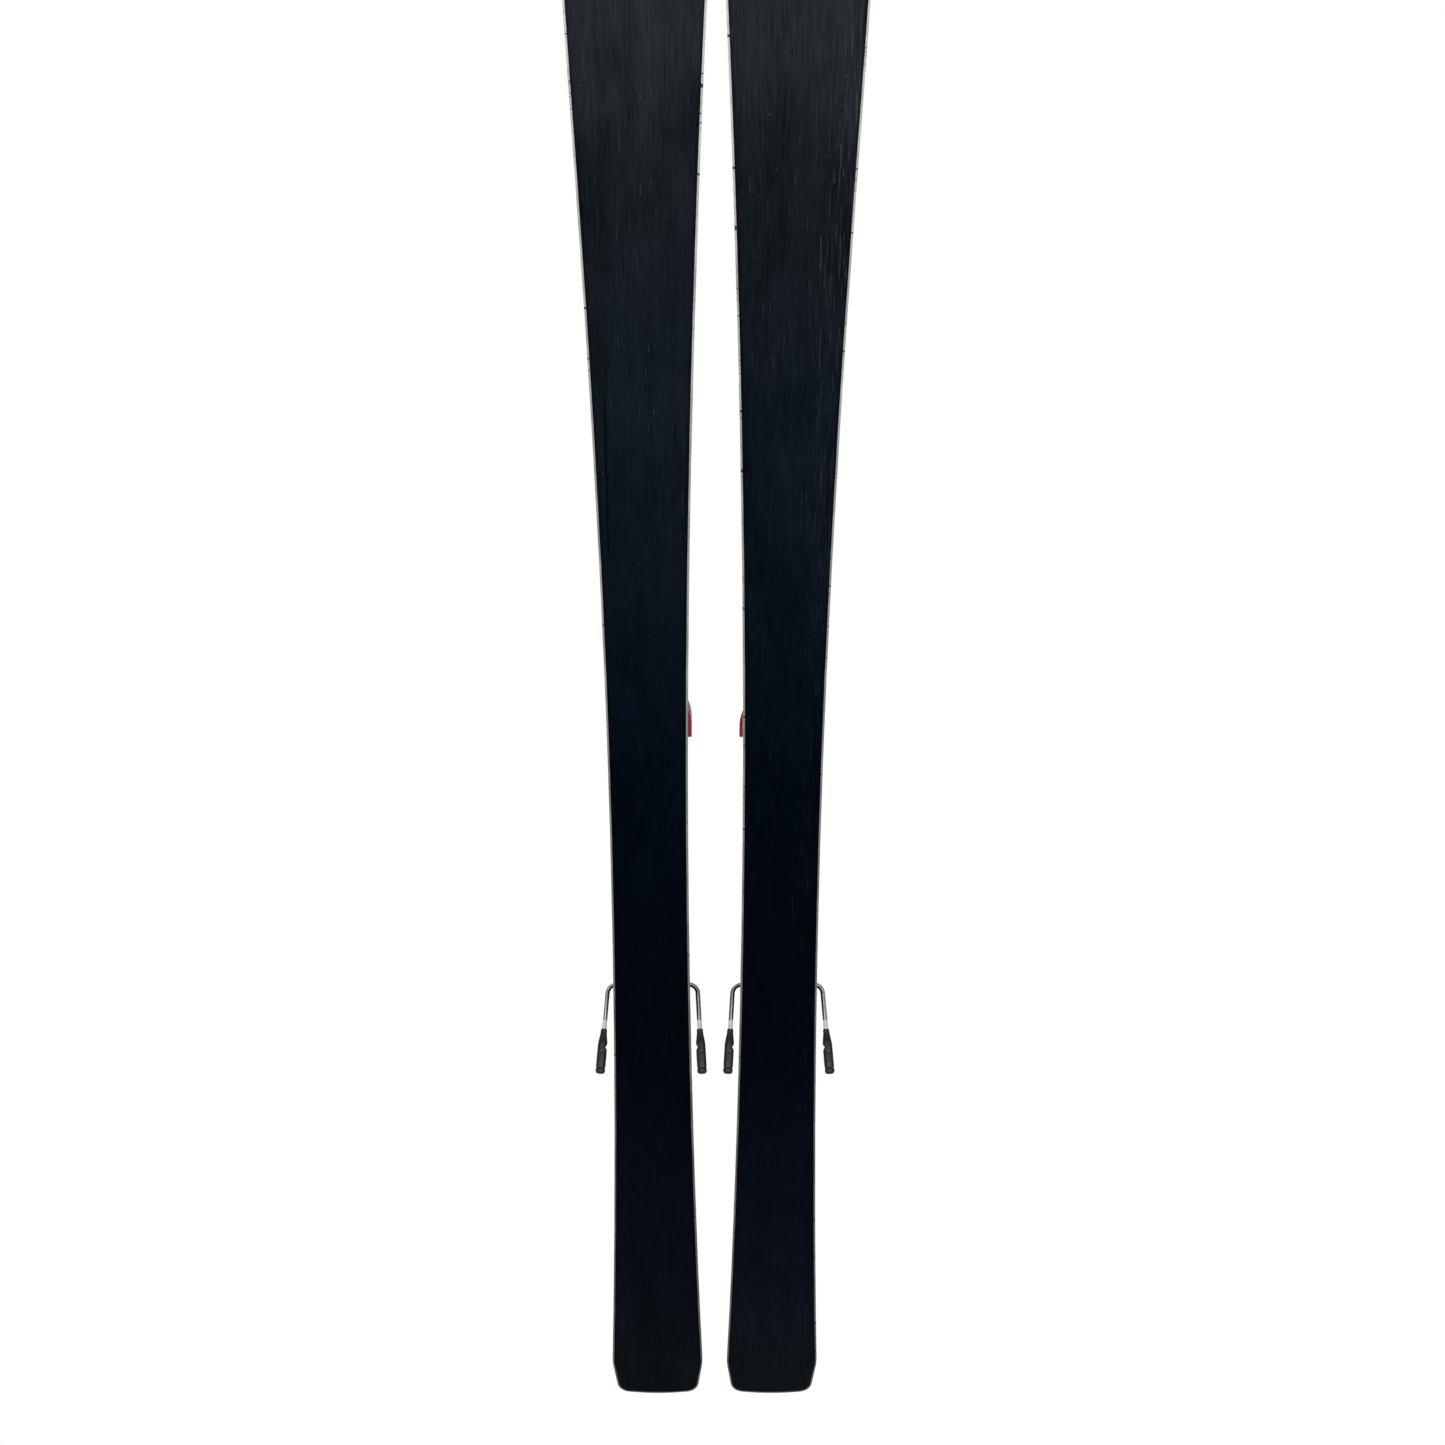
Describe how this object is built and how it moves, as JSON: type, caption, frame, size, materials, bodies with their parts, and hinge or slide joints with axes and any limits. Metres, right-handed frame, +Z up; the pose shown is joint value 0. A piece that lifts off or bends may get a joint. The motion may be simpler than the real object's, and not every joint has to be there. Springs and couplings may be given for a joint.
{
  "type": "pair of alpine skis with bindings",
  "caption": "Pair of shaped alpine skis lying side by side, with releasing toe and heel bindings on rails and sprung wire ski brakes standing down.",
  "frame": {"origin": "middle of the pair's box, on the surface that the brake feet stand on", "axes": "+X towards the tips, +Y to the skier's left, +Z up through the bindings"},
  "size_m": [1.597, 0.2476, 0.1514],
  "materials": {
    "base_graphite": "stone-ground sintered polyethylene, waxed",
    "edge_steel": "ground carbon steel",
    "fibre_laminate": "glass fibre in resin",
    "core_wood": "glued strips, bare",
    "sidewall": "milled",
    "top_sheet": "semi-gloss printed film",
    "rail_plastic": "moulded, glass filled",
    "housing_plastic": "moulded, fine texture",
    "accent_plastic": "moulded, satin",
    "foot_plastic": "moulded",
    "slider_steel": "brushed plate",
    "bright_steel": "zinc-nickel plated, bright",
    "spring_steel": "oil-tempered wire"
  },
  "bodies": {
    "left_ski": {"left_running_base": "base_graphite", "left_steel_edges": "edge_steel", "left_lower_laminate": "fibre_laminate", "left_wood_core": "core_wood", "left_sidewalls": "sidewall", "left_tip_filler": "sidewall", "left_upper_laminate": "fibre_laminate", "left_top_sheet": "top_sheet", "left_binding_rails": "rail_plastic", "left_rail_screws": "bright_steel", "left_toe_base": "housing_plastic", "left_toe_pivot_pin": "bright_steel"},
    "left_toe_jaw": {"left_toe_wings": "accent_plastic", "left_toe_housing": "housing_plastic", "left_toe_piston": "bright_steel", "left_toe_spring": "spring_steel"},
    "left_toe_adjuster": {"left_toe_screw": "bright_steel"},
    "left_toe_slider": {"left_afd_plate": "slider_steel"},
    "left_heel_carriage": {"left_heel_base": "housing_plastic", "left_heel_axle": "bright_steel", "left_brake_plate": "rail_plastic"},
    "left_heel_jaw": {"left_heel_housing": "housing_plastic", "left_heel_piston": "bright_steel", "left_heel_spring": "spring_steel", "left_lever_pin": "bright_steel"},
    "left_heel_adjuster": {"left_heel_screw": "bright_steel"},
    "left_opening_lever": {"left_heel_lever": "accent_plastic"},
    "left_brake": {"left_brake_wire": "bright_steel", "left_brake_feet": "foot_plastic", "left_brake_pedal": "foot_plastic"},
    "right_ski": {"right_running_base": "base_graphite", "right_steel_edges": "edge_steel", "right_lower_laminate": "fibre_laminate", "right_wood_core": "core_wood", "right_sidewalls": "sidewall", "right_tip_filler": "sidewall", "right_upper_laminate": "fibre_laminate", "right_top_sheet": "top_sheet", "right_binding_rails": "rail_plastic", "right_rail_screws": "bright_steel", "right_toe_base": "housing_plastic", "right_toe_pivot_pin": "bright_steel"},
    "right_toe_jaw": {"right_toe_wings": "accent_plastic", "right_toe_housing": "housing_plastic", "right_toe_piston": "bright_steel", "right_toe_spring": "spring_steel"},
    "right_toe_adjuster": {"right_toe_screw": "bright_steel"},
    "right_toe_slider": {"right_afd_plate": "slider_steel"},
    "right_heel_carriage": {"right_heel_base": "housing_plastic", "right_heel_axle": "bright_steel", "right_brake_plate": "rail_plastic"},
    "right_heel_jaw": {"right_heel_housing": "housing_plastic", "right_heel_piston": "bright_steel", "right_heel_spring": "spring_steel", "right_lever_pin": "bright_steel"},
    "right_heel_adjuster": {"right_heel_screw": "bright_steel"},
    "right_opening_lever": {"right_heel_lever": "accent_plastic"},
    "right_brake": {"right_brake_wire": "bright_steel", "right_brake_feet": "foot_plastic", "right_brake_pedal": "foot_plastic"}
  },
  "joints": [
    {"name": "left_toe_release", "type": "hinge", "parent": "left_ski", "child": "left_toe_jaw", "pos_m": [0.06049, 0.063, 0.09243], "axis": [0, 0, 1], "range_deg": [-28, 28], "stiffness_Nm_per_rad": 60},
    {"name": "left_toe_adjust", "type": "hinge", "parent": "left_toe_jaw", "child": "left_toe_adjuster", "pos_m": [0.12749, 0.063, 0.09243], "axis": [1, 0, 0], "continuous": true},
    {"name": "left_toe_slide", "type": "slide", "parent": "left_ski", "child": "left_toe_slider", "axis": [0, 1, 0], "range_m": [-0.008, 0.008], "stiffness_N_per_m": 1500},
    {"name": "left_length_adjust", "type": "slide", "parent": "left_ski", "child": "left_heel_carriage", "axis": [1, 0, 0], "range_m": [-0.006, 0.01]},
    {"name": "left_heel_release", "type": "hinge", "parent": "left_heel_carriage", "child": "left_heel_jaw", "pos_m": [-0.34151, 0.063, 0.08993], "axis": [0, -1, 0], "range_deg": [0, 42]},
    {"name": "left_heel_adjust", "type": "hinge", "parent": "left_heel_jaw", "child": "left_heel_adjuster", "pos_m": [-0.38351, 0.063, 0.10393], "axis": [1, 0, 0], "continuous": true},
    {"name": "left_lever_press", "type": "hinge", "parent": "left_heel_jaw", "child": "left_opening_lever", "pos_m": [-0.35351, 0.063, 0.11993], "axis": [0, -1, 0], "range_deg": [0, 28], "stiffness_Nm_per_rad": 0.8, "springref_deg": -17.19},
    {"name": "left_brake_swing", "type": "hinge", "parent": "left_heel_carriage", "child": "left_brake", "pos_m": [-0.28551, 0.063, 0.06793], "axis": [0, 1, 0], "range_deg": [0, 52], "stiffness_Nm_per_rad": 2, "springref_deg": -114.59},
    {"name": "right_toe_release", "type": "hinge", "parent": "right_ski", "child": "right_toe_jaw", "pos_m": [0.06049, -0.063, 0.09243], "axis": [0, 0, 1], "range_deg": [-28, 28], "stiffness_Nm_per_rad": 60},
    {"name": "right_toe_adjust", "type": "hinge", "parent": "right_toe_jaw", "child": "right_toe_adjuster", "pos_m": [0.12749, -0.063, 0.09243], "axis": [1, 0, 0], "continuous": true},
    {"name": "right_toe_slide", "type": "slide", "parent": "right_ski", "child": "right_toe_slider", "axis": [0, 1, 0], "range_m": [-0.008, 0.008], "stiffness_N_per_m": 1500},
    {"name": "right_length_adjust", "type": "slide", "parent": "right_ski", "child": "right_heel_carriage", "axis": [1, 0, 0], "range_m": [-0.006, 0.01]},
    {"name": "right_heel_release", "type": "hinge", "parent": "right_heel_carriage", "child": "right_heel_jaw", "pos_m": [-0.34151, -0.063, 0.08993], "axis": [0, -1, 0], "range_deg": [0, 42]},
    {"name": "right_heel_adjust", "type": "hinge", "parent": "right_heel_jaw", "child": "right_heel_adjuster", "pos_m": [-0.38351, -0.063, 0.10393], "axis": [1, 0, 0], "continuous": true},
    {"name": "right_lever_press", "type": "hinge", "parent": "right_heel_jaw", "child": "right_opening_lever", "pos_m": [-0.35351, -0.063, 0.11993], "axis": [0, -1, 0], "range_deg": [0, 28], "stiffness_Nm_per_rad": 0.8, "springref_deg": -17.19},
    {"name": "right_brake_swing", "type": "hinge", "parent": "right_heel_carriage", "child": "right_brake", "pos_m": [-0.28551, -0.063, 0.06793], "axis": [0, 1, 0], "range_deg": [0, 52], "stiffness_Nm_per_rad": 2, "springref_deg": -114.59},
    {"name": "pair_spacing", "type": "slide", "parent": "left_ski", "child": "right_ski", "axis": [0, -1, 0], "range_m": [0, 0.1]}
  ]
}
